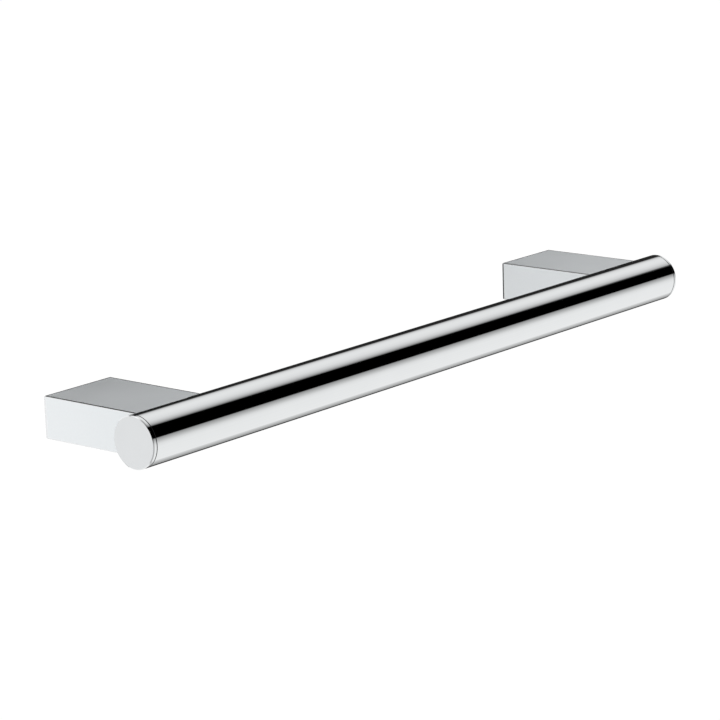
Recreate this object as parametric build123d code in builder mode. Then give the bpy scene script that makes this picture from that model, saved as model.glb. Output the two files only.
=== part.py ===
from build123d import *
import os

# A wall-mounted towel rail: a round tube, closed by an end cap at each end, on two hollow cast brackets.
# Millimetres. X runs along the rail, +Y goes into the wall and +Z is up.
# The origin lies on the wall, midway between the two brackets and level with the rail.

# Rail: a drawn tube, its length taken over both end caps
rail_diameter = 30.0
rail_length = 495.0
rail_wall = 1.5
rail_standoff = 80.0
end_overhang = 12.0

# Brackets: cast blocks, whose tops and bottoms lie inside the rail's by the inset
bracket_width = 52.0
bracket_inset = 2.8
bracket_skin = 3.0
bracket_edge_radius = 0.6
saddle_wall = 6.0
horn_flat = 0.15
core_shoulder = 0.6
core_draft = 0.5
core_corner_radius = 1.5
core_root_radius = 1.0
web_thickness = 2.0
web_setback = 10.0

# Half-round nuts inside the tube, and the socket screws that draw the tube into the saddles
rail_screw_diameter = 5.0
rail_screw_length = 20.0
rail_screw_inset = 16.0
screw_head_diameter = 8.5
screw_head_height = 5.0
screw_socket_flats = 4.0
screw_socket_depth = 2.5
screw_boss_diameter = 11.5
screw_boss_height = 3.0
lock_washer_diameter = 9.2
lock_washer_thickness = 1.2
lock_washer_slit = 1.0
rail_nut_setback = 9.0
rail_nut_depth = 8.5

# End caps: turned plugs, each held by rubber rings
cap_thickness = 2.5
cap_chamfer = 0.5
spigot_length = 14.0
spigot_skin = 4.0
cup_floor = 3.0
ring_groove_depth = 1.9
ring_groove_width = 2.4
ring_spacing = 6.0
ring_count = 2

# Wall plates, which the brackets hook over and a pointed set screw locks from below
plate_thickness = 11.0
plate_flange = 3.0
plate_groove_depth = 3.0
plate_corner_chamfer = 1.0
wall_hole_diameter = 5.2
wall_hole_inset = 12.0
wall_slot_length = 9.0
screw_seat_diameter = 10.5
screw_seat_depth = 3.0
set_screw_diameter = 5.0
set_screw_reach = 2.0
set_screw_recess = 0.4
set_screw_socket_flats = 2.5
set_screw_socket_depth = 2.2

# Clearances and broken edges
round_gap = 0.05
screw_gap = 0.25
plate_gap = 0.1
plate_front_gap = 1.0
ring_gap = 0.02
ring_side_gap = 0.2
point_gap = 0.03
edge_break = 0.2
screw_edge_break = 0.4

# Sizes that follow from the ones above; a depth is a distance in front of the wall
rail_radius = rail_diameter / 2
bore_radius = rail_radius - rail_wall
tube_length = rail_length - 2 * cap_thickness
saddle_radius = rail_radius + round_gap
saddle_depth = rail_standoff - rail_radius

bracket_height = rail_diameter - 2 * bracket_inset
bracket_x = rail_length / 2 - end_overhang - bracket_width / 2
horn_height = bracket_height / 2 - horn_flat
horn_depth = rail_standoff - (saddle_radius**2 - horn_height**2) ** 0.5
pocket_width = bracket_width - 2 * bracket_skin
pocket_height = bracket_height - 2 * bracket_skin
pocket_depth = plate_thickness + plate_front_gap
core_width = pocket_width - 2 * core_shoulder
core_height = pocket_height - 2 * core_shoulder
core_depth = saddle_depth - saddle_wall
web_depth = pocket_depth + web_setback

boss_depth = core_depth - screw_boss_height
head_seat_depth = boss_depth - lock_washer_thickness
head_top_depth = head_seat_depth - screw_head_height
rail_screw_spacing = bracket_width - 2 * rail_screw_inset
rail_screw_hole_radius = rail_screw_diameter / 2 + screw_gap
rail_nut_radius = bore_radius - round_gap
rail_nut_length = bracket_width - 2 * rail_nut_setback

plate_width = pocket_width - 2 * plate_gap
plate_height = pocket_height - 2 * plate_gap
plate_half_height = plate_height / 2
plate_neck = plate_half_height - plate_groove_depth
groove_front = plate_thickness - plate_flange
groove_back = groove_front - plate_groove_depth
wall_hole_spacing = bracket_width - 2 * wall_hole_inset
slot_seat_length = wall_slot_length - wall_hole_diameter + screw_seat_diameter

set_screw_radius = set_screw_diameter / 2
set_screw_foot = -bracket_height / 2 + set_screw_recess
set_screw_tip = -plate_half_height + set_screw_reach
set_screw_depth = groove_front - set_screw_reach - point_gap * 2**0.5

spigot_radius = bore_radius - round_gap
spigot_end = cap_thickness + spigot_length
cup_radius = spigot_radius - spigot_skin
cup_start = cap_thickness + cup_floor
groove_radius = spigot_radius - ring_groove_depth
ring_thickness = bore_radius - groove_radius - 2 * ring_gap
ring_radius = groove_radius + ring_gap + ring_thickness / 2
ring_width = ring_groove_width - 2 * ring_side_gap
first_ring = cap_thickness + (spigot_length - (ring_count - 1) * ring_spacing) / 2
ring_places = [first_ring + i * ring_spacing for i in range(ring_count)]


def facing_room(x, depth):
    """A plane parallel to the wall that looks into the room."""
    return Plane(origin=(x, -depth, 0), x_dir=(1, 0, 0), z_dir=(0, -1, 0))


def across_rail(x):
    """A plane square to the rail: first the depth in front of the wall, then up."""
    return Plane(origin=(x, 0, 0), x_dir=(0, -1, 0), z_dir=(-1, 0, 0))


def save_piece(piece, name):
    piece.part.label = name
    export_step(piece.part, f"parts/{name}.step")


os.makedirs("parts", exist_ok=True)

# The rail's tube, drilled at the back for the screws of both brackets
with BuildPart() as rail_tube:
    with BuildSketch(across_rail(0)):
        with Locations((rail_standoff, 0)):
            Circle(rail_radius)
            Circle(bore_radius, mode=Mode.SUBTRACT)
    extrude(amount=tube_length / 2, both=True)
    outer_rims = rail_tube.edges().filter_by(GeomType.CIRCLE).group_by(SortBy.RADIUS)[-1]
    chamfer(outer_rims, edge_break)
    with BuildSketch(facing_room(0, boss_depth)):
        with GridLocations(2 * bracket_x, 0, 2, 1):
            with GridLocations(rail_screw_spacing, 0, 2, 1):
                Circle(rail_screw_hole_radius)
    extrude(amount=rail_standoff - boss_depth, mode=Mode.SUBTRACT)
save_piece(rail_tube, "rail_tube")

for side, sign in {"left": -1, "right": 1}.items():
    centre = sign * bracket_x
    wall = facing_room(centre, 0)

    # Cast bracket: a block coped to the tube and cored out from the wall side
    with BuildPart() as bracket:
        with BuildSketch(wall):
            Rectangle(bracket_width, bracket_height)
        extrude(amount=horn_depth)
        long_edges = bracket.edges().filter_by(Axis.Y)
        wall_edges = bracket.faces().sort_by(Axis.Y)[-1].edges()
        fillet(long_edges + wall_edges, bracket_edge_radius)
        with BuildSketch(across_rail(centre)):
            with Locations((rail_standoff, 0)):
                Circle(saddle_radius)
        extrude(amount=bracket_width, both=True, mode=Mode.SUBTRACT)

        # The plate's pocket at the wall, then a drafted core with a rounded floor
        with BuildSketch(wall):
            Rectangle(pocket_width, pocket_height)
        extrude(amount=pocket_depth, mode=Mode.SUBTRACT)
        with BuildSketch(wall.offset(pocket_depth)):
            RectangleRounded(core_width, core_height, core_corner_radius)
        extrude(amount=core_depth - pocket_depth, taper=core_draft, mode=Mode.SUBTRACT)
        flat_levels = bracket.faces().filter_by(Axis.Y).group_by(Axis.Y)
        core_floor = flat_levels[1]
        fillet(core_floor.edges(), core_root_radius)

        # Screw bosses on the core's floor, and a stiffening web between them
        with BuildSketch(wall.offset(boss_depth)):
            with GridLocations(rail_screw_spacing, 0, 2, 1):
                Circle(screw_boss_diameter / 2)
        extrude(amount=screw_boss_height + saddle_wall / 2)
        with BuildSketch(wall.offset(web_depth)):
            Rectangle(web_thickness, pocket_height)
        extrude(amount=core_depth - web_depth)

        # Holes for the rail screws, and below for the set screw
        with BuildSketch(wall.offset(boss_depth)):
            with GridLocations(rail_screw_spacing, 0, 2, 1):
                Circle(rail_screw_hole_radius)
        extrude(amount=rail_standoff - boss_depth, mode=Mode.SUBTRACT)
        with BuildSketch(Plane(origin=(centre, -set_screw_depth, -bracket_height / 2))):
            Circle(set_screw_radius + round_gap)
        extrude(amount=bracket_skin, mode=Mode.SUBTRACT)
    save_piece(bracket, f"bracket_{side}")

    # Half-round nut inside the tube, bored for both rail screws
    with BuildPart() as rail_nut:
        with BuildSketch(across_rail(centre)):
            with Locations((rail_standoff, 0)):
                Circle(rail_nut_radius)
            with Locations((rail_standoff - rail_nut_radius, 0)):
                Rectangle(
                    rail_nut_depth,
                    2 * rail_nut_radius,
                    align=(Align.MIN, Align.CENTER),
                    mode=Mode.INTERSECT,
                )
        extrude(amount=rail_nut_length / 2, both=True)
        chamfer(rail_nut.faces().filter_by(Axis.X).edges(), edge_break)
        with BuildSketch(facing_room(centre, saddle_depth)):
            with GridLocations(rail_screw_spacing, 0, 2, 1):
                Circle(rail_screw_diameter / 2 + round_gap)
        extrude(amount=rail_diameter, mode=Mode.SUBTRACT)
    save_piece(rail_nut, f"rail_nut_{side}")

    # Split lock washers on the screw bosses
    with BuildPart() as lock_washers:
        with BuildSketch(facing_room(centre, head_seat_depth)):
            with GridLocations(rail_screw_spacing, 0, 2, 1):
                Circle(lock_washer_diameter / 2)
                Circle(rail_screw_diameter / 2 + round_gap, mode=Mode.SUBTRACT)
                with Locations((0, lock_washer_diameter / 2)):
                    Rectangle(lock_washer_slit, lock_washer_diameter, mode=Mode.SUBTRACT)
        extrude(amount=lock_washer_thickness)
    save_piece(lock_washers, f"lock_washers_{side}")

    # Socket screws, reached from the bracket's open back
    with BuildPart() as rail_screws:
        with BuildSketch(facing_room(centre, head_top_depth)):
            with GridLocations(rail_screw_spacing, 0, 2, 1):
                Circle(screw_head_diameter / 2)
        extrude(amount=screw_head_height)
        with BuildSketch(facing_room(centre, head_seat_depth)):
            with GridLocations(rail_screw_spacing, 0, 2, 1):
                Circle(rail_screw_diameter / 2)
        extrude(amount=rail_screw_length)
        flat_ends = rail_screws.faces().filter_by(Axis.Y).group_by(Axis.Y)
        chamfer(flat_ends[-1].edges() + flat_ends[0].edges(), screw_edge_break)
        with BuildSketch(facing_room(centre, head_top_depth)):
            with GridLocations(rail_screw_spacing, 0, 2, 1):
                RegularPolygon(screw_socket_flats / 2, 6, major_radius=False)
        extrude(amount=screw_socket_depth, mode=Mode.SUBTRACT)
    save_piece(rail_screws, f"rail_screws_{side}")

    # Wall plate: a flange stands proud along both long edges, with a bevel behind it for the pointed screw
    with BuildPart() as wall_plate:
        with BuildSketch(across_rail(centre)):
            with BuildLine():
                Polyline(
                    (0, -plate_neck),
                    (groove_back, -plate_neck),
                    (groove_front, -plate_half_height),
                    (plate_thickness, -plate_half_height),
                    (plate_thickness, plate_half_height),
                    (groove_front, plate_half_height),
                    (groove_back, plate_neck),
                    (0, plate_neck),
                    close=True,
                )
            make_face()
        extrude(amount=plate_width / 2, both=True)
        upright_edges = wall_plate.faces().filter_by(Axis.X).edges().filter_by(Axis.Z)
        chamfer(upright_edges.group_by(Axis.Y)[0], plate_corner_chamfer)

        # A round hole towards the rail's middle and a slot towards its end, both with a recessed seat
        inner_hole = (-sign * wall_hole_spacing / 2, 0)
        outer_slot = (sign * wall_hole_spacing / 2, 0)
        with BuildSketch(wall):
            with Locations(inner_hole):
                Circle(wall_hole_diameter / 2)
            with Locations(outer_slot):
                SlotOverall(wall_slot_length, wall_hole_diameter)
        extrude(amount=plate_thickness, mode=Mode.SUBTRACT)
        with BuildSketch(wall.offset(plate_thickness - screw_seat_depth)):
            with Locations(inner_hole):
                Circle(screw_seat_diameter / 2)
            with Locations(outer_slot):
                SlotOverall(slot_seat_length, screw_seat_diameter)
        extrude(amount=screw_seat_depth, mode=Mode.SUBTRACT)
    save_piece(wall_plate, f"wall_plate_{side}")

    # Pointed set screw in the bracket's underside, its cone on the plate's bevel
    screw_line = (centre, -set_screw_depth, 0)
    with BuildPart() as set_screw:
        with BuildSketch(Plane(origin=screw_line, x_dir=(1, 0, 0), z_dir=(0, -1, 0))):
            with BuildLine():
                Polyline(
                    (0, set_screw_foot),
                    (set_screw_radius - edge_break, set_screw_foot),
                    (set_screw_radius, set_screw_foot + edge_break),
                    (set_screw_radius, set_screw_tip - set_screw_radius),
                    (0, set_screw_tip),
                    close=True,
                )
            make_face()
        revolve(axis=Axis(screw_line, (0, 0, 1)))
        with BuildSketch(Plane(origin=(centre, -set_screw_depth, set_screw_foot))):
            RegularPolygon(set_screw_socket_flats / 2, 6, major_radius=False)
        extrude(amount=set_screw_socket_depth, mode=Mode.SUBTRACT)
    save_piece(set_screw, f"set_screw_{side}")

    # End cap: a turned plug, hollowed from behind, with grooves for its rings
    cap_plane = Plane(
        origin=(sign * rail_length / 2, -rail_standoff, 0),
        x_dir=(-sign, 0, 0),
        z_dir=(0, sign, 0),
    )
    cap_axis = Axis(cap_plane.origin, cap_plane.x_dir)
    with BuildPart() as end_cap:
        with BuildSketch(cap_plane):
            with BuildLine():
                Polyline(
                    (0, 0),
                    (0, rail_radius - cap_chamfer),
                    (cap_chamfer, rail_radius),
                    (cap_thickness - edge_break, rail_radius),
                    (cap_thickness, rail_radius - edge_break),
                    (cap_thickness, spigot_radius),
                    (spigot_end - cap_chamfer, spigot_radius),
                    (spigot_end, spigot_radius - cap_chamfer),
                    (spigot_end, cup_radius),
                    (cup_start, cup_radius),
                    (cup_start, 0),
                    close=True,
                )
            make_face()
            with Locations(*[(x, groove_radius) for x in ring_places]):
                Rectangle(
                    ring_groove_width,
                    2 * ring_groove_depth,
                    align=(Align.CENTER, Align.MIN),
                    mode=Mode.SUBTRACT,
                )
        revolve(axis=cap_axis)
    save_piece(end_cap, f"end_cap_{side}")

    # Square-cut rubber rings in those grooves
    with BuildPart() as cap_rings:
        with BuildSketch(cap_plane):
            with Locations(*[(x, ring_radius) for x in ring_places]):
                Rectangle(ring_width, ring_thickness)
        revolve(axis=cap_axis)
    save_piece(cap_rings, f"cap_rings_{side}")
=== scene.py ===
import bmesh
import bpy
import math
from mathutils import Matrix, Vector


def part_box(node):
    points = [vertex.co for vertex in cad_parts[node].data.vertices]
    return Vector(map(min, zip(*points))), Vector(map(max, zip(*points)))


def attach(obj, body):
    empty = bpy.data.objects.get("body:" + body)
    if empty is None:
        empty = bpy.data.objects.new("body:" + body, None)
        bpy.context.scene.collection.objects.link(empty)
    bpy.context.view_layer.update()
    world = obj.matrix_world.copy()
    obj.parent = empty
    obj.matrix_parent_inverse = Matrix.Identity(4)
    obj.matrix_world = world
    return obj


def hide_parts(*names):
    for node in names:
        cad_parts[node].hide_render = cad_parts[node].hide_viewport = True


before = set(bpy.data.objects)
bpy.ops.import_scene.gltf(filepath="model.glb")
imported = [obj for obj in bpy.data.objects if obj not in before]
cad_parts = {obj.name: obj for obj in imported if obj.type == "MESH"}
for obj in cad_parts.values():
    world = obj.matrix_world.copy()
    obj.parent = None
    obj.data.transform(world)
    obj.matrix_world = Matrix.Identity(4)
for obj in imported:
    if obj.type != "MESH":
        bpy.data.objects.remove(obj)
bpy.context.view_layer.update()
sides = {"left": -1, "right": 1}
white = (1, 1, 1, 1)

# Whatever the start-up file brought along isn't wanted
for startUpName in ("Cube", "Light", "Camera"):
    startUpObject = bpy.data.objects.get(startUpName)
    if startUpObject is not None:
        bpy.data.objects.remove(startUpObject)

# What the frame says about the rail: its axis runs along X
tubeLow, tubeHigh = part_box("rail_tube")
railRadius = (tubeHigh.z - tubeLow.z) / 2
railAxis = Vector((0, (tubeLow.y + tubeHigh.y) / 2, 0))
print("frame loaded, rail radius", round(railRadius * 1000, 2), "mm")


# Shader helpers

def newTree(name):
    material = bpy.data.materials.new(name)
    material.use_nodes = True
    material.node_tree.nodes.clear()
    return material, material.node_tree


def addNode(tree, kind, inputs=None, **settings):
    node = tree.nodes.new(kind)
    for key, value in settings.items():
        setattr(node, key, value)
    for key, value in (inputs or {}).items():
        if isinstance(value, bpy.types.NodeSocket):
            tree.links.new(value, node.inputs[key])
        else:
            node.inputs[key].default_value = value
    return node


def mathNode(tree, operation, a, b=0.0):
    return addNode(tree, "ShaderNodeMath", {0: a, 1: b}, operation=operation).outputs[0]


def weighted(tree, a, weightA, b, weightB):
    return mathNode(tree, "ADD", mathNode(tree, "MULTIPLY", a, weightA),
                    mathNode(tree, "MULTIPLY", b, weightB))


def vectorNode(tree, operation, a, b):
    return addNode(tree, "ShaderNodeVectorMath", {0: a, 1: b}, operation=operation).outputs[0]


def noiseNode(tree, vector, scale, detail):
    inputs = {"Vector": vector, "Scale": scale, "Detail": detail}
    return addNode(tree, "ShaderNodeTexNoise", inputs).outputs["Fac"]


def remap(tree, value, before, after):
    # carries a value from one pair of ends to another, and stops there
    ends = {"From Min": before[0], "From Max": before[1], "To Min": after[0], "To Max": after[1]}
    return addNode(tree, "ShaderNodeMapRange", {"Value": value, **ends}).outputs[0]


def splitVector(tree, vector):
    return addNode(tree, "ShaderNodeSeparateXYZ", {0: vector}).outputs


def objectPoint(tree):
    return addNode(tree, "ShaderNodeTexCoord").outputs["Object"]


def glowNode(tree, strength):
    return addNode(tree, "ShaderNodeEmission", {"Color": white, "Strength": strength}).outputs[0]


def diffuseNode(tree, level):
    return addNode(tree, "ShaderNodeBsdfDiffuse", {"Color": (level, level, level, 1)}).outputs[0]


def showSurface(tree, shader):
    addNode(tree, "ShaderNodeOutputMaterial", {"Surface": shader})


def newGroup(name, vectors, numbers, outputs):
    # a shared effect: vectors and numbers go in, numbers come out
    tree = bpy.data.node_groups.new(name, "ShaderNodeTree")
    for socketName in vectors:
        tree.interface.new_socket(socketName, in_out="INPUT", socket_type="NodeSocketVector")
    for socketName, value in numbers.items():
        socket = tree.interface.new_socket(socketName, in_out="INPUT", socket_type="NodeSocketFloat")
        socket.default_value = value
    for socketName in outputs:
        tree.interface.new_socket(socketName, in_out="OUTPUT", socket_type="NodeSocketFloat")
    return tree, addNode(tree, "NodeGroupInput").outputs, addNode(tree, "NodeGroupOutput").inputs


def placeGroup(tree, group, inputs):
    return addNode(tree, "ShaderNodeGroup", inputs, node_tree=group).outputs


# Groups that the finishes share

def makePolishGroup():
    # long faint lines along the rail, left by the polishing belt
    tree, inside, out = newGroup("polishLines", ["Vector"], {"Length": 2.0, "Across": 900.0}, ["Lines"])
    parts = splitVector(tree, inside["Vector"])
    stretched = addNode(tree, "ShaderNodeCombineXYZ", {
        0: mathNode(tree, "MULTIPLY", parts[0], inside["Length"]),
        1: mathNode(tree, "MULTIPLY", parts[1], inside["Across"]),
        2: mathNode(tree, "MULTIPLY", parts[2], inside["Across"]),
    })
    tree.links.new(noiseNode(tree, stretched.outputs[0], scale=1.0, detail=3.0), out["Lines"])
    return tree


def makeGrainGroup():
    # fine cast or moulded grain over a broader unevenness
    scales = {"Fine Scale": 2500.0, "Broad Scale": 120.0}
    tree, inside, out = newGroup("surfaceGrain", ["Vector"], scales, ["Fine", "Broad"])
    tree.links.new(noiseNode(tree, inside["Vector"], inside["Fine Scale"], detail=4.0), out["Fine"])
    tree.links.new(noiseNode(tree, inside["Vector"], inside["Broad Scale"], detail=2.0), out["Broad"])
    return tree


def makeTurningGroup():
    # rings left by the lathe tool round an axis through Centre, parallel to X
    tree, inside, out = newGroup("turningRings", ["Vector", "Centre"], {"Pitch Scale": 3000.0}, ["Rings"])
    offset = vectorNode(tree, "SUBTRACT", inside["Vector"], inside["Centre"])
    flat = vectorNode(tree, "MULTIPLY", offset, (0.0, 1.0, 1.0))
    radius = addNode(tree, "ShaderNodeVectorMath", {0: flat}, operation="LENGTH").outputs["Value"]
    place = mathNode(tree, "MULTIPLY", radius, inside["Pitch Scale"])
    noise = addNode(tree, "ShaderNodeTexNoise", {"W": place, "Scale": 1.0, "Detail": 2.0},
                    noise_dimensions="1D")
    tree.links.new(noise.outputs["Fac"], out["Rings"])
    return tree


polishLines = makePolishGroup()
surfaceGrain = makeGrainGroup()
turningRings = makeTurningGroup()

# Metals: heights are in millimetres, and a metal without any is left as smooth as its mesh
metalDefaults = {"pattern": "grain", "fineScale": 2500.0, "markHeight": 0.0, "broadHeight": 0.0}
bumpDistance = 0.001
markShare = 0.6            # of the change in colour; the broader unevenness makes the rest
noiseEnds = (0.25, 0.75)   # most of a noise lies between these


def spread(tree, noise, low, high):
    return remap(tree, noise, noiseEnds, (low, high))


def tint(tree, noise, dark, light):
    inputs = {"Factor": spread(tree, noise, 0.0, 1.0), "A": (*dark, 1), "B": (*light, 1)}
    return addNode(tree, "ShaderNodeMix", inputs, data_type="RGBA").outputs["Result"]


def finishMetal(name, look):
    # one metal: its colour and roughness wander between two ends, and a bump carries the surface
    look = {**metalDefaults, **look}
    material, tree = newTree(name)
    point = objectPoint(tree)
    scales = {"Fine Scale": look["fineScale"], "Broad Scale": look["broadScale"]}
    grain = placeGroup(tree, surfaceGrain, {"Vector": point, **scales})
    if look["pattern"] == "lines":
        belt = {"Vector": point, "Length": look["length"], "Across": look["across"]}
        marks = placeGroup(tree, polishLines, belt)["Lines"]
    elif look["pattern"] == "rings":
        lathe = {"Vector": point, "Centre": railAxis, "Pitch Scale": look["pitchScale"]}
        marks = placeGroup(tree, turningRings, lathe)["Rings"]
    else:
        marks = grain["Fine"]
    height = weighted(tree, marks, look["markHeight"], grain["Broad"], look["broadHeight"])
    bump = addNode(tree, "ShaderNodeBump", {"Height": height, "Strength": 1.0, "Distance": bumpDistance})
    mixed = weighted(tree, marks, markShare, grain["Broad"], 1 - markShare)
    roughness = spread(tree, grain["Broad"], *look["roughness"])
    if "coarserBy" in look:
        # belt marks that grow coarser away from the wall
        depth = mathNode(tree, "MULTIPLY", splitVector(tree, point)[1], -1.0)
        coarser = remap(tree, depth, (0.0, look["coarserReach"]), (0.0, look["coarserBy"]))
        roughness = mathNode(tree, "ADD", roughness, coarser)
    shader = addNode(tree, "ShaderNodeBsdfPrincipled", {
        "Base Color": tint(tree, mixed, look["dark"], look["light"]),
        "Roughness": roughness,
        "Metallic": 1.0,
        "Normal": bump.outputs[0],
    })
    showSurface(tree, shader.outputs[0])
    return material


polishedChrome = finishMetal("polishedChrome", {
    "pattern": "lines", "length": 2.0, "across": 900.0, "broadScale": 60.0, "markHeight": 0.003,
    "dark": (0.77, 0.785, 0.79), "light": (0.80, 0.815, 0.82), "roughness": (0.04, 0.06),
})
satinChrome = finishMetal("satinChrome", {
    "fineScale": 900.0, "broadScale": 40.0,
    "dark": (0.87, 0.896, 0.91), "light": (0.90, 0.926, 0.94), "roughness": (0.50, 0.54),
    "coarserBy": 0.08, "coarserReach": 0.07,
})
turnedChrome = finishMetal("turnedChrome", {
    "pattern": "rings", "pitchScale": 3000.0, "broadScale": 60.0,
    "dark": (0.71, 0.725, 0.735), "light": (0.75, 0.765, 0.775), "roughness": (0.18, 0.22),
})
# edges with a higher polish; on the end caps' chamfer its base, lighter than polishedChrome's, is a painted
# highlight
edgePolishAndPaintedHighlight = finishMetal("edgePolishAndPaintedHighlight", {
    "broadScale": 200.0,
    "dark": (0.80, 0.81, 0.82), "light": (0.86, 0.87, 0.88), "roughness": (0.08, 0.12),
})
# painted shade: a near-black metal on the faces either side of the seam between tube and cap, standing in for
# the shadow in that gap
paintedSeamShade = finishMetal("paintedSeamShade", {
    "broadScale": 300.0,
    "dark": (0.03, 0.03, 0.032), "light": (0.06, 0.06, 0.062), "roughness": (0.5, 0.65),
})
bareCasting = finishMetal("bareCasting", {
    "fineScale": 1800.0, "broadScale": 90.0, "markHeight": 0.03, "broadHeight": 0.15,
    "dark": (0.42, 0.43, 0.45), "light": (0.56, 0.57, 0.59), "roughness": (0.45, 0.6),
})
dieCastZinc = finishMetal("dieCastZinc", {
    "fineScale": 1800.0, "broadScale": 70.0, "markHeight": 0.02, "broadHeight": 0.1,
    "dark": (0.60, 0.61, 0.63), "light": (0.72, 0.73, 0.75), "roughness": (0.62, 0.78),
})
screwSteel = finishMetal("screwSteel", {
    "fineScale": 2600.0, "broadScale": 300.0, "markHeight": 0.01, "broadHeight": 0.02,
    "dark": (0.48, 0.47, 0.45), "light": (0.60, 0.59, 0.57), "roughness": (0.24, 0.36),
})
nutBrass = finishMetal("nutBrass", {
    "pattern": "lines", "length": 60.0, "across": 2400.0, "fineScale": 2600.0, "broadScale": 200.0,
    "markHeight": 0.01, "broadHeight": 0.02,
    "dark": (0.66, 0.49, 0.22), "light": (0.80, 0.63, 0.34), "roughness": (0.26, 0.4),
})

# Rubber of the cap rings
rubberLook = {
    "fineScale": 3000.0, "broadScale": 400.0, "bump": 0.3, "bumpDistance": 0.0001,
    "dark": (0.016, 0.016, 0.017), "light": (0.03, 0.03, 0.031), "roughness": (0.5, 0.68),
}


def finishRubber():
    material, tree = newTree("sealRubber")
    scales = {"Fine Scale": rubberLook["fineScale"], "Broad Scale": rubberLook["broadScale"]}
    grain = placeGroup(tree, surfaceGrain, {"Vector": objectPoint(tree), **scales})
    bump = addNode(tree, "ShaderNodeBump", {
        "Height": grain["Fine"], "Strength": rubberLook["bump"], "Distance": rubberLook["bumpDistance"],
    })
    shader = addNode(tree, "ShaderNodeBsdfPrincipled", {
        "Base Color": tint(tree, grain["Broad"], rubberLook["dark"], rubberLook["light"]),
        "Roughness": spread(tree, grain["Fine"], *rubberLook["roughness"]),
        "Normal": bump.outputs[0],
    })
    showSurface(tree, shader.outputs[0])
    return material


sealRubber = finishRubber()
print("materials made")

# Mesh helpers and their fixed values: lengths in metres, angles in degrees
weld = 0.000001         # points closer than this are one
weldAfterCut = 0.000002
hair = 0.0001           # what is this near a plane lies in it
sharpAngle = 30
emptySlots = 3          # they let a boolean keep the numbers of the bracket's three finishes


def newObject(bm, name):
    mesh = bpy.data.meshes.new(name)
    bm.to_mesh(mesh)
    bm.free()
    made = bpy.data.objects.new(name, mesh)
    bpy.context.scene.collection.objects.link(made)
    return made


def keepPiece(bm, name, finishes, replaced):
    # the finished mesh takes its place in the frame and stands for the CAD node
    bmesh.ops.recalc_face_normals(bm, faces=bm.faces)
    for face in bm.faces:
        face.smooth = True
    for edge in bm.edges:
        edge.smooth = len(edge.link_faces) == 2 and math.degrees(edge.calc_face_angle(0)) < sharpAngle
    piece = newObject(bm, name)
    for material in finishes:
        piece.data.materials.append(material)
    flatFirst = piece.modifiers.new("flatFirst", "WEIGHTED_NORMAL")   # flats stay flat beside rounded edges
    flatFirst.keep_sharp = True
    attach(piece, "root")
    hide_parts(replaced)
    return piece


def spinProfile(bm, points, steps, centre=railAxis, along=Vector((1, 0, 0))):
    # a closed outline of (reach, radius) points, turned once round an axis that runs along X or Z
    outward = Vector((along.z, 0, along.x))
    corners = [bm.verts.new(centre + along * reach + outward * radius) for reach, radius in points]
    edges = [bm.edges.new(pair) for pair in zip(corners, corners[1:] + corners[:1])]
    bmesh.ops.spin(bm, geom=corners + edges, cent=centre, axis=along, angle=2 * math.pi, steps=steps,
                   use_merge=True)
    bmesh.ops.remove_doubles(bm, verts=bm.verts, dist=weld)


def addBox(bm, low, high):
    verts = bmesh.ops.create_cube(bm, size=1)["verts"]
    bmesh.ops.scale(bm, verts=verts, vec=high - low)
    bmesh.ops.translate(bm, verts=verts, vec=(low + high) / 2)


def addRod(bm, centre, radius, length, axis, steps=64):
    # a cylinder of that length, centred, along "X", "Y" or "Z"
    verts = bmesh.ops.create_cone(bm, cap_ends=True, segments=steps, radius1=radius, radius2=radius,
                                  depth=length)["verts"]
    if axis != "Z":
        turn = Matrix.Rotation(math.pi / 2, 3, "Y" if axis == "X" else "X")
        bmesh.ops.rotate(bm, verts=verts, cent=(0, 0, 0), matrix=turn)
    bmesh.ops.translate(bm, verts=verts, vec=centre)


def roundOff(bm, edges, radius, steps):
    return bmesh.ops.bevel(bm, geom=edges, affect="EDGES", offset=radius, segments=steps,
                           profile=0.5, material=-1)["faces"]


def runsDeep(edge):
    # whether an edge runs away from the wall
    return abs(edge.verts[0].co.y - edge.verts[1].co.y) > hair


def shapeOf(bm, name, finish=None):
    # a passing object that a boolean can use
    bmesh.ops.recalc_face_normals(bm, faces=bm.faces)
    if finish is not None:
        for face in bm.faces:
            face.material_index = finish
    shape = newObject(bm, name)
    for _ in range(emptySlots):
        shape.data.materials.append(None)
    return shape


def carve(body, cuts):
    # cuts or joins each shape in turn and gives back the result as a bmesh
    for operation, shape in cuts:
        boolean = body.modifiers.new(shape.name, "BOOLEAN")
        boolean.operation = operation
        boolean.solver = "EXACT"
        boolean.object = shape
    mesh = bpy.data.meshes.new_from_object(body.evaluated_get(bpy.context.evaluated_depsgraph_get()))
    for passing in [body] + [shape for _, shape in cuts]:
        bpy.data.objects.remove(passing)
    bm = bmesh.new()
    bm.from_mesh(mesh)
    bpy.data.meshes.remove(mesh)
    bmesh.ops.remove_doubles(bm, verts=bm.verts, dist=weldAfterCut)
    return bm


# Where the brackets' screws stand, as the frame has them
def screwPlaces(side):
    low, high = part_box(f"rail_screws_{side}")
    headRadius = (high.z - low.z) / 2
    return [low.x + headRadius, high.x - headRadius]


# Rail tube; a face belongs to an end if its normal has more than endFacing of its length along the rail
tubeLook = {"wall": 0.0015, "edgeBreak": 0.0003, "steps": 192, "screwHole": 0.00275, "endFacing": 0.5}
tubeFinishes = [polishedChrome, paintedSeamShade]


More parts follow.
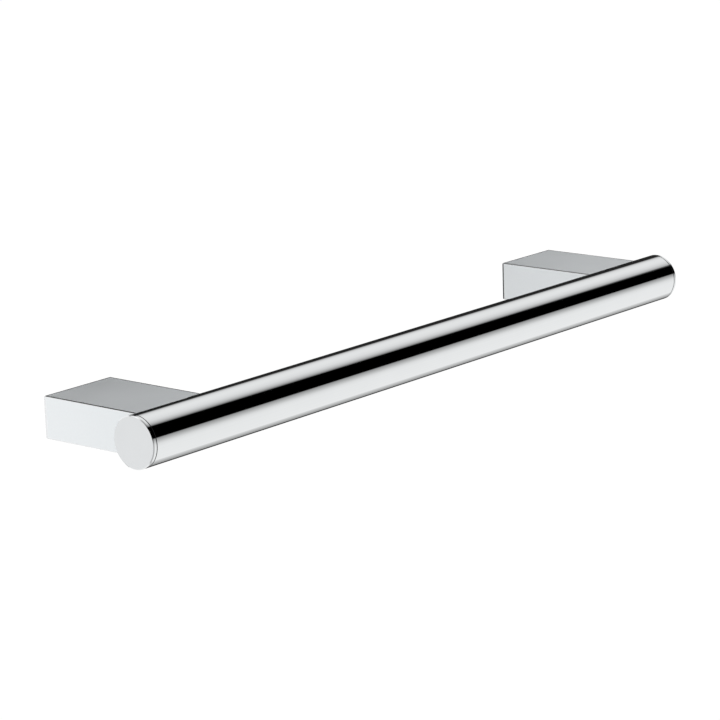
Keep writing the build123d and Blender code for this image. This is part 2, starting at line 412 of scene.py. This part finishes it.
def makeRailTube():
    end, bore, rim = tubeHigh.x, railRadius - tubeLook["wall"], tubeLook["edgeBreak"]
    # loops at the brackets' sides keep the screw holes' corners out of the open stretch
    stations = sorted(corner.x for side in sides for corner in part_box(f"bracket_{side}"))
    outer = [(-end, railRadius - rim), (-end + rim, railRadius)] + [(x, railRadius) for x in stations]
    outer += [(end - rim, railRadius), (end, railRadius - rim)]
    inner = [(end, bore)] + [(x, bore) for x in reversed(stations)] + [(-end, bore)]
    blank = bmesh.new()
    spinProfile(blank, outer + inner, tubeLook["steps"])
    drills = bmesh.new()
    for side in sides:
        for x in screwPlaces(side):
            addRod(drills, (x, railAxis.y + railRadius, 0), tubeLook["screwHole"], railRadius, "Y")
    tube = carve(shapeOf(blank, "tubeBlank"), [("DIFFERENCE", shapeOf(drills, "drills"))])
    piece = keepPiece(tube, "railTube", tubeFinishes, "rail_tube")
    # the tube's ends take the painted seam shade
    for polygon in piece.data.polygons:
        if abs(polygon.normal.x) > tubeLook["endFacing"]:
            polygon.material_index = tubeFinishes.index(paintedSeamShade)


makeRailTube()

# End caps, with two ring grooves in each spigot
capLook = {
    "plate": 0.0025, "spigot": 0.014, "chamfer": 0.0005, "edgeBreak": 0.0003, "fit": 0.00005,
    "skin": 0.004, "floor": 0.003, "steps": 192, "endFacing": 0.99,
}
ringLook = {"depth": 0.0019, "width": 0.0024, "first": 0.0065, "spacing": 0.006, "count": 2}
capFinishes = [polishedChrome, turnedChrome, edgePolishAndPaintedHighlight, paintedSeamShade]


def makeEndCap(side, sign):
    low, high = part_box(f"end_cap_{side}")
    face = high.x if sign > 0 else low.x
    plate, rim, chamfer = capLook["plate"], capLook["edgeBreak"], capLook["chamfer"]
    spigotEnd = plate + capLook["spigot"]
    spigotRadius = railRadius - tubeLook["wall"] - capLook["fit"]
    grooveRadius = spigotRadius - ringLook["depth"]
    cupRadius = spigotRadius - capLook["skin"]
    depths = [
        (0, 0), (0, railRadius - chamfer), (chamfer, railRadius),
        (plate - rim, railRadius), (plate, railRadius - rim), (plate, spigotRadius),
    ]
    for count in range(ringLook["count"]):
        middle, half = ringLook["first"] + count * ringLook["spacing"], ringLook["width"] / 2
        depths += [
            (middle - half, spigotRadius), (middle - half, grooveRadius),
            (middle + half, grooveRadius), (middle + half, spigotRadius),
        ]
    depths += [
        (spigotEnd - chamfer, spigotRadius), (spigotEnd, spigotRadius - chamfer),
        (spigotEnd, cupRadius), (plate + capLook["floor"], cupRadius), (plate + capLook["floor"], 0),
    ]
    cap = bmesh.new()
    spinProfile(cap, [(face - sign * depth, radius) for depth, radius in depths], capLook["steps"])
    piece = keepPiece(cap, f"endCap.{side}", capFinishes, f"end_cap_{side}")
    for polygon in piece.data.polygons:
        depth = abs(face - polygon.center.x)
        if abs(polygon.normal.x) > capLook["endFacing"]:
            polygon.material_index = capFinishes.index(turnedChrome)
        # the chamfer round the cap's face: a painted highlight from its lighter base
        elif depth < chamfer:
            polygon.material_index = capFinishes.index(edgePolishAndPaintedHighlight)
        # the edge break at the back of the cap's plate takes the painted seam shade
        elif plate - rim < depth < plate:
            polygon.material_index = capFinishes.index(paintedSeamShade)


for side, sign in sides.items():
    makeEndCap(side, sign)
print("tube and caps made")

# Brackets: satin faces, polished edges, and the bare casting inside
bracketLook = {
    "edgeRadius": 0.0006, "edgeSteps": 4, "polishedRim": 0.0008, "topFacing": 0.9,
    "skin": 0.003, "saddleFit": 0.00005, "saddleWall": 0.006, "plateRoom": 0.001,
    "shoulder": 0.0006, "draft": 0.5, "coreCorner": 0.0015, "coreRoot": 0.001, "cornerSteps": 4,
    "bossRadius": 0.00575, "bossHeight": 0.003, "webThickness": 0.002, "webSetback": 0.01,
    "screwHole": 0.00275, "setScrewHole": 0.00255, "overshoot": 0.001,
}
bracketFinishes = [satinChrome, edgePolishAndPaintedHighlight, bareCasting]
polished, cast = bracketFinishes.index(edgePolishAndPaintedHighlight), bracketFinishes.index(bareCasting)


def bracketBlank(low, high):
    bm = bmesh.new()
    addBox(bm, low, high)
    rounded = [edge for edge in bm.edges if runsDeep(edge) or all(v.co.y > high.y - hair for v in edge.verts)]
    for face in roundOff(bm, rounded, bracketLook["edgeRadius"], bracketLook["edgeSteps"]):
        face.material_index = polished
    # a polished strip beside the wall and beside both sides' upper edges
    rim = bracketLook["edgeRadius"] + bracketLook["polishedRim"]
    for place, direction in ((high.y - rim, (0, 1, 0)), (low.x + rim, (1, 0, 0)), (high.x - rim, (1, 0, 0))):
        bmesh.ops.bisect_plane(bm, geom=bm.verts[:] + bm.edges[:] + bm.faces[:],
                               plane_co=Vector(direction) * place, plane_no=direction)
    for face in bm.faces:
        middle = face.calc_center_median()
        onTop = face.normal.z > bracketLook["topFacing"] and not low.x + rim < middle.x < high.x - rim
        if middle.y > high.y - rim or onTop:
            face.material_index = polished
    return shapeOf(bm, "blank")


def bracketCore(low, high, pocketDepth, coreDepth):
    # a drafted box with rounded corners and floor, made standing off the wall
    steps, inset = bracketLook["cornerSteps"], bracketLook["skin"] + bracketLook["shoulder"]
    draft = (coreDepth - pocketDepth) * math.tan(math.radians(bracketLook["draft"]))
    bm = bmesh.new()
    addBox(bm, Vector((low.x + inset, -coreDepth, low.z + inset)),
           Vector((high.x - inset, -pocketDepth + bracketLook["overshoot"], high.z - inset)))
    roundOff(bm, [edge for edge in bm.edges if runsDeep(edge)], bracketLook["coreCorner"], steps)
    floorVerts = [v for v in bm.verts if v.co.y < -coreDepth + hair]
    shrink = 1 - 2 * draft / (high.z - low.z - 2 * inset)
    centre = Vector(((low.x + high.x) / 2, -coreDepth, 0))
    bmesh.ops.scale(bm, verts=floorVerts, vec=(shrink, 1, shrink), space=Matrix.Translation(-centre))
    floorEdges = [edge for edge in bm.edges if all(v in floorVerts for v in edge.verts)]
    roundOff(bm, floorEdges, bracketLook["coreRoot"], steps)
    return shapeOf(bm, "core", cast)


def makeBracket(side):
    low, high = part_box(f"bracket_{side}")
    setLow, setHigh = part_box(f"set_screw_{side}")
    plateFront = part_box(f"wall_plate_{side}")[0].y
    middle = (low.x + high.x) / 2
    over, skin, wall = bracketLook["overshoot"], bracketLook["skin"], bracketLook["saddleWall"]
    bossHeight, webHalf = bracketLook["bossHeight"], bracketLook["webThickness"] / 2
    pocketDepth = -plateFront + bracketLook["plateRoom"]
    coreDepth = -railAxis.y - railRadius - wall

    saddle = bmesh.new()
    addRod(saddle, (middle, railAxis.y, 0), railRadius + bracketLook["saddleFit"],
           high.x - low.x + 2 * over, "X", steps=tubeLook["steps"])
    pocket = bmesh.new()
    addBox(pocket, Vector((low.x + skin, -pocketDepth, low.z + skin)),
           Vector((high.x - skin, over, high.z - skin)))
    bosses = bmesh.new()
    holes = bmesh.new()
    for x in screwPlaces(side):
        addRod(bosses, (x, -coreDepth, 0), bracketLook["bossRadius"], 2 * bossHeight, "Y")
        addRod(holes, (x, railAxis.y + railRadius, 0), bracketLook["screwHole"], 2 * wall + railRadius, "Y")
    web = bmesh.new()
    addBox(web, Vector((middle - webHalf, -coreDepth - over, low.z + skin)),
           Vector((middle + webHalf, -pocketDepth - bracketLook["webSetback"], high.z - skin)))
    setHole = bmesh.new()
    addRod(setHole, (middle, (setLow.y + setHigh.y) / 2, low.z + skin / 2), bracketLook["setScrewHole"],
           skin + over, "Z")

    bracket = carve(bracketBlank(low, high), [
        ("DIFFERENCE", shapeOf(saddle, "saddle")),
        ("DIFFERENCE", shapeOf(pocket, "pocket", cast)),
        ("DIFFERENCE", bracketCore(low, high, pocketDepth, coreDepth)),
        ("UNION", shapeOf(bosses, "bosses", cast)),
        ("UNION", shapeOf(web, "web", cast)),
        ("DIFFERENCE", shapeOf(holes, "holes", cast)),
        ("DIFFERENCE", shapeOf(setHole, "setHole", cast)),
    ])
    keepPiece(bracket, f"bracket.{side}", bracketFinishes, f"bracket_{side}")


for side in sides:
    makeBracket(side)
print("brackets made")

# Screws, with the threads that the source leaves out; a thread's crest and root are shares of its pitch
threadLook = {
    "pitch": 0.0008, "depth": 0.00049, "crestEnd": 0.125, "rootStart": 0.4375, "rootEnd": 0.6875,
    "steps": 24, "spareTurns": 2, "outlineSteps": 96,
}
railScrewLook = {
    "shankRadius": 0.0025, "headHeight": 0.005, "edgeBreak": 0.0004,
    "socketFlats": 0.004, "socketDepth": 0.0025,
}
setScrewLook = {"footBreak": 0.0002, "socketFlats": 0.0025, "socketDepth": 0.0022}
screwTrim = 0.00005   # keeps a screw's outline off its crests, so that the two don't lie on each other


def threadedRod(radius, low, high):
    # a rod along Z between two heights: a helix of one pitch's outline, cut off flat and closed
    pitch, steps, spare = threadLook["pitch"], threadLook["steps"], threadLook["spareTurns"]
    root = radius - threadLook["depth"]
    outline = [
        (0, radius), (threadLook["crestEnd"], radius),
        (threadLook["rootStart"], root), (threadLook["rootEnd"], root), (1, radius),
    ]
    bm = bmesh.new()
    corners = [bm.verts.new((reach, 0, low + (along - spare) * pitch)) for along, reach in outline]
    edges = [bm.edges.new(pair) for pair in zip(corners, corners[1:])]
    turns = math.ceil((high - low) / pitch) + 2 * spare
    bmesh.ops.spin(bm, geom=corners + edges, cent=(0, 0, 0), axis=(0, 0, 1), dvec=(0, 0, pitch / steps),
                   angle=2 * math.pi * turns, steps=steps * turns)
    bmesh.ops.remove_doubles(bm, verts=bm.verts, dist=weld)
    for height, direction in ((low, -1), (high, 1)):
        bmesh.ops.bisect_plane(bm, geom=bm.verts[:] + bm.edges[:] + bm.faces[:], plane_co=(0, 0, height),
                               plane_no=(0, 0, direction), clear_outer=True)
    bmesh.ops.holes_fill(bm, edges=[edge for edge in bm.edges if edge.is_boundary], sides=0)
    return bm


def hexSocket(look):
    # open at height 0, where the screw's end is
    bm = bmesh.new()
    radius = look["socketFlats"] / 2 / math.cos(math.pi / 6)
    verts = bmesh.ops.create_cone(bm, cap_ends=True, segments=6, radius1=radius, radius2=radius,
                                  depth=2 * look["socketDepth"])["verts"]
    bmesh.ops.rotate(bm, verts=verts, cent=(0, 0, 0), matrix=Matrix.Rotation(math.pi / 6, 3, "Z"))
    return shapeOf(bm, "socket")


def turnedShape(name, points):
    bm = bmesh.new()
    spinProfile(bm, points, threadLook["outlineSteps"], Vector((0, 0, 0)), Vector((0, 0, 1)))
    return shapeOf(bm, name)


def makeRailScrews(side):
    # each stands on its head's top at height 0, then points out of the wall
    low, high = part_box(f"rail_screws_{side}")
    radius, head, rim = railScrewLook["shankRadius"], railScrewLook["headHeight"], railScrewLook["edgeBreak"]
    headRadius, length, clear = (high.z - low.z) / 2, high.y - low.y, radius + screwTrim
    envelope = [(0, 0), (0, clear), (length - rim - screwTrim, clear), (length, radius - rim), (length, 0)]
    headOutline = [(0, 0), (0, headRadius - rim), (rim, headRadius), (head, headRadius), (head, 0)]
    screws = carve(shapeOf(threadedRod(radius, head / 2, length), "shank"), [
        ("INTERSECT", turnedShape("envelope", envelope)),
        ("UNION", turnedShape("head", headOutline)),
        ("DIFFERENCE", hexSocket(railScrewLook)),
    ])
    bmesh.ops.rotate(screws, verts=screws.verts, cent=(0, 0, 0), matrix=Matrix.Rotation(math.pi / 2, 3, "X"))
    first, second = screwPlaces(side)
    bmesh.ops.translate(screws, verts=screws.verts, vec=(first, high.y, 0))
    copied = bmesh.ops.duplicate(screws, geom=screws.verts[:] + screws.edges[:] + screws.faces[:])["geom"]
    copiedVerts = [part for part in copied if isinstance(part, bmesh.types.BMVert)]
    bmesh.ops.translate(screws, verts=copiedVerts, vec=(second - first, 0, 0))
    keepPiece(screws, f"railScrews.{side}", [screwSteel], f"rail_screws_{side}")


def makeSetScrew(side):
    low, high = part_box(f"set_screw_{side}")
    radius, length, rim = (high.x - low.x) / 2, high.z - low.z, setScrewLook["footBreak"]
    clear = radius + screwTrim
    envelope = [(0, 0), (0, radius - rim), (rim + screwTrim, clear), (length - clear, clear), (length, 0)]
    screw = carve(shapeOf(threadedRod(radius, 0, length), "rod"), [
        ("INTERSECT", turnedShape("envelope", envelope)),
        ("DIFFERENCE", hexSocket(setScrewLook)),
    ])
    bmesh.ops.translate(screw, verts=screw.verts, vec=((low.x + high.x) / 2, (low.y + high.y) / 2, low.z))
    keepPiece(screw, f"setScrew.{side}", [screwSteel], f"set_screw_{side}")


for side in sides:
    makeRailScrews(side)
    makeSetScrew(side)
print("screws made")

# The CAD nodes that stay take their finishes
nodeFinishes = {
    "wall_plate": dieCastZinc, "rail_nut": nutBrass, "lock_washers": screwSteel, "cap_rings": sealRubber,
}
for side in sides:
    for start, material in nodeFinishes.items():
        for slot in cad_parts[f"{start}_{side}"].material_slots:
            slot.material = material


# Stage helpers

def seenDirectly(tree):
    path = addNode(tree, "ShaderNodeLightPath").outputs
    seen = mathNode(tree, "MAXIMUM", path["Is Camera Ray"], path["Is Glossy Ray"])
    return mathNode(tree, "MAXIMUM", seen, path["Is Transmission Ray"])


def onlyReflected(thing):
    thing.visible_camera = False
    thing.visible_diffuse = False
    thing.visible_shadow = False


def dressStage(thing, material):
    material.cycles.emission_sampling = "NONE"
    thing.data.materials.append(material)


# Light tent: a white tube round the rail, seen only in reflections, with dark flags and one brighter panel.
# Angles are degrees round the rail, 0 towards the room and 90 up; leftEnd and rightEnd are metres along it.
# Each edge fades into the white. A slant turns it by so many degrees a metre, counted from slantFrom, and
# stops slantReach to the left of there.
tentLook = {"radius": 0.85, "reach": 4.0, "steps": 96, "slantFrom": 0.9, "slantReach": 0.45}
flagDefaults = {
    "lowSlant": 0.0, "highSlant": 0.0, "leftEnd": -4.0, "rightEnd": 4.0, "endFade": 0.1, "farFade": 0.1,
    "depth": 1.0, "softness": 1.0,
}
flags = [
    # in front and above: the broad black band, and the half shade below it
    {"low": 13.5, "high": 60.5, "lowFade": 1.5, "highFade": 14.0, "highSlant": -11.0},
    {"low": 13.5, "high": 60.5, "lowFade": 20.0, "highFade": 1.0, "depth": 0.62, "softness": 2.0},
    # behind: the dark line along the top of the tube, the one along its foot, and the grey above that;
    # the gap between the first two keeps the other cap and the wall plates bright from their own side
    {"low": 145.5, "high": 188.0, "lowFade": 9.0, "highFade": 1.5, "lowSlant": -14.0, "depth": 0.98,
     "leftEnd": 0.32, "rightEnd": 1.45, "endFade": 0.03, "farFade": 0.35},
    {"low": 213.0, "high": 231.0, "lowFade": 1.5, "highFade": 6.0, "depth": 0.98,
     "leftEnd": 0.42, "rightEnd": 1.5, "endFade": 0.03, "farFade": 0.35},
    {"low": 213.0, "high": 242.0, "lowFade": 2.0, "highFade": 26.0, "depth": 0.52, "softness": 2.0,
     "leftEnd": 0.35},
    # above and behind: the dark line on the brackets' upper edges
    {"low": 124.0, "high": 143.0, "lowFade": 6.0, "highFade": 1.5,
     "leftEnd": -0.36, "rightEnd": 0.35, "endFade": 0.04, "farFade": 0.04},
    # in front and to the left: the grey line round the end cap's rim
    {"low": -80.0, "high": 100.0, "lowFade": 5.0, "highFade": 5.0, "depth": 0.5,
     "leftEnd": -1.3, "rightEnd": -0.5},
    # overhead, to the left of what the tube mirrors: the panel, which lifts the satin tops towards the rail
    {"low": 64.0, "high": 122.0, "lowFade": 5.0, "highFade": 5.0, "depth": -0.22,
     "leftEnd": -0.6, "rightEnd": 0.4, "endFade": 0.05, "farFade": 0.05},
]


def fadesPast(tree, value, edge, fade):
    # how many fades a value is past an edge
    return mathNode(tree, "DIVIDE", mathNode(tree, "SUBTRACT", value, edge), fade)


def flagShade(tree, angle, along, flag):
    # the light that is left: 1 - depth in the flag, going back to 1 away from it
    flag = {**flagDefaults, **flag}
    offset = mathNode(tree, "SUBTRACT", along, tentLook["slantFrom"])
    offset = mathNode(tree, "MAXIMUM", offset, -tentLook["slantReach"])
    low = mathNode(tree, "ADD", mathNode(tree, "MULTIPLY", offset, flag["lowSlant"]), flag["low"])
    high = mathNode(tree, "ADD", mathNode(tree, "MULTIPLY", offset, flag["highSlant"]), flag["high"])
    pastSide = mathNode(tree, "MAXIMUM", fadesPast(tree, low, angle, flag["lowFade"]),
                        fadesPast(tree, angle, high, flag["highFade"]))
    pastEnd = mathNode(tree, "MAXIMUM", fadesPast(tree, flag["leftEnd"], along, flag["endFade"]),
                       fadesPast(tree, along, flag["rightEnd"], flag["farFade"]))
    outside = mathNode(tree, "MAXIMUM", mathNode(tree, "MAXIMUM", pastSide, pastEnd), 0.0)
    outside = mathNode(tree, "POWER", outside, flag["softness"])
    fade = mathNode(tree, "EXPONENT", mathNode(tree, "MULTIPLY", outside, -1.0))
    return mathNode(tree, "SUBTRACT", 1.0, mathNode(tree, "MULTIPLY", fade, flag["depth"]))


def makeLightTent():
    bm = bmesh.new()
    reach, radius = tentLook["reach"], tentLook["radius"]
    ends = [bm.verts.new(railAxis + Vector((x, 0, radius))) for x in (-reach, reach)]
    edge = bm.edges.new(ends)
    bmesh.ops.spin(bm, geom=ends + [edge], cent=railAxis, axis=(1, 0, 0), angle=2 * math.pi,
                   steps=tentLook["steps"], use_merge=True)
    tent = newObject(bm, "lightTent")
    onlyReflected(tent)

    material, tree = newTree("tentFabric")
    parts = splitVector(tree, objectPoint(tree))
    back = mathNode(tree, "SUBTRACT", parts[1], railAxis.y)
    # taken from straight up, so that the angle's jump lies straight below, where no flag is
    fromTop = mathNode(tree, "MULTIPLY", mathNode(tree, "ARCTAN2", back, parts[2]), 180 / math.pi)
    angle = mathNode(tree, "ADD", fromTop, 90.0)
    level = 1.0
    for flag in flags:
        level = mathNode(tree, "MULTIPLY", flagShade(tree, angle, parts[0], flag), level)
    showSurface(tree, glowNode(tree, level))
    dressStage(tent, material)


makeLightTent()

# Black card low behind the wall line, which the far bracket's side and upright edge mirror
cardLook = {
    "left": -0.175, "right": 0.12, "behind": 0.25, "low": -0.22, "high": 0.0,
    "shade": 0.02, "leftFade": 0.025, "rightFade": 0.16,
}


def makeDarkCard():
    left, right, low, high = cardLook["left"], cardLook["right"], cardLook["low"], cardLook["high"]
    middle = Vector(((left + right) / 2, cardLook["behind"], (low + high) / 2))
    bm = bmesh.new()
    corners = bmesh.ops.create_grid(bm, x_segments=1, y_segments=1, size=0.5)["verts"]
    bmesh.ops.rotate(bm, verts=corners, cent=(0, 0, 0), matrix=Matrix.Rotation(math.pi / 2, 3, "X"))
    bmesh.ops.scale(bm, verts=corners, vec=(right - left, 1, high - low))
    bmesh.ops.translate(bm, verts=corners, vec=middle)
    card = newObject(bm, "darkCard")
    onlyReflected(card)

    material, tree = newTree("cardFelt")
    along = splitVector(tree, objectPoint(tree))[0]
    shade = cardLook["shade"]
    nearLeft = remap(tree, along, (left, left + cardLook["leftFade"]), (1.0, shade))
    nearRight = remap(tree, along, (right - cardLook["rightFade"], right), (shade, 1.0))
    showSurface(tree, glowNode(tree, mathNode(tree, "MAXIMUM", nearLeft, nearRight)))
    dressStage(card, material)


makeDarkCard()

# Floor and world: white wherever the camera, metal or glass looks, and the floor keeps a soft shadow
floorLook = {"drop": 0.9, "size": 60.0, "colour": 0.9, "shade": 0.25, "glow": 0.8}
worldLook = {"seen": 1.0, "fill": 0.85}


def makeFloor():
    bm = bmesh.new()
    bmesh.ops.create_grid(bm, x_segments=1, y_segments=1, size=floorLook["size"] / 2)
    bmesh.ops.translate(bm, verts=bm.verts, vec=(0, 0, -floorLook["drop"]))
    floor = newObject(bm, "floor")

    material, tree = newTree("paleFloor")
    shaded = diffuseNode(tree, floorLook["shade"])
    lit = addNode(tree, "ShaderNodeAddShader", {0: shaded, 1: glowNode(tree, floorLook["glow"])}).outputs[0]
    plain = diffuseNode(tree, floorLook["colour"])
    mix = addNode(tree, "ShaderNodeMixShader", {0: seenDirectly(tree), 1: plain, 2: lit})
    showSurface(tree, mix.outputs[0])
    dressStage(floor, material)


def makeWorld():
    world = bpy.data.worlds.new("studio")
    bpy.context.scene.world = world
    world.use_nodes = True
    tree = world.node_tree
    tree.nodes.clear()
    seen = addNode(tree, "ShaderNodeBackground", {"Color": white, "Strength": worldLook["seen"]}).outputs[0]
    fill = addNode(tree, "ShaderNodeBackground", {"Color": white, "Strength": worldLook["fill"]}).outputs[0]
    mix = addNode(tree, "ShaderNodeMixShader", {0: seenDirectly(tree), 1: fill, 2: seen})
    addNode(tree, "ShaderNodeOutputWorld", {"Surface": mix.outputs[0]})


makeFloor()
makeWorld()

# Key lamp: a large soft one over the camera's shoulder
keyLook = {"place": (-1.2, -1.8, 1.9), "size": 1.6, "watts": 14.0}


def makeKeyLamp():
    data = bpy.data.lights.new("keyLamp", "AREA")
    data.size = keyLook["size"]
    data.energy = keyLook["watts"]
    lamp = bpy.data.objects.new("keyLamp", data)
    lamp.location = keyLook["place"]
    lamp.rotation_euler = (-Vector(keyLook["place"])).to_track_quat("-Z", "Y").to_euler()
    lamp.visible_glossy = False
    bpy.context.scene.collection.objects.link(lamp)


makeKeyLamp()
print("tent, floor, world and lamp made")

# Camera, where the photograph was taken from: angles in degrees, its place in metres, its lens in millimetres
cameraLook = {
    "place": (-1.28801, -1.12073, 0.39505), "heading": 49.741, "downTilt": 13.558, "roll": -1.876,
    "lens": 142.75, "sensor": 36.0, "clipEnd": 200.0,
}


def makeCamera():
    data = bpy.data.cameras.new("camera")
    data.lens = cameraLook["lens"]
    data.sensor_width = cameraLook["sensor"]
    data.clip_end = cameraLook["clipEnd"]
    camera = bpy.data.objects.new("camera", data)
    heading = math.radians(cameraLook["heading"])
    tilt = math.radians(cameraLook["downTilt"])
    roll = Matrix.Rotation(math.radians(cameraLook["roll"]), 3, "Z")
    ahead = Vector((math.sin(heading) * math.cos(tilt), math.cos(heading) * math.cos(tilt), -math.sin(tilt)))
    across = Vector((math.cos(heading), -math.sin(heading), 0))
    above = across.cross(ahead)
    turn = Matrix((across, above, -ahead)).transposed() @ roll
    camera.matrix_world = Matrix.Translation(cameraLook["place"]) @ turn.to_4x4()
    bpy.context.scene.collection.objects.link(camera)
    bpy.context.scene.camera = camera


makeCamera()
bpy.context.scene.view_settings.view_transform = "Standard"
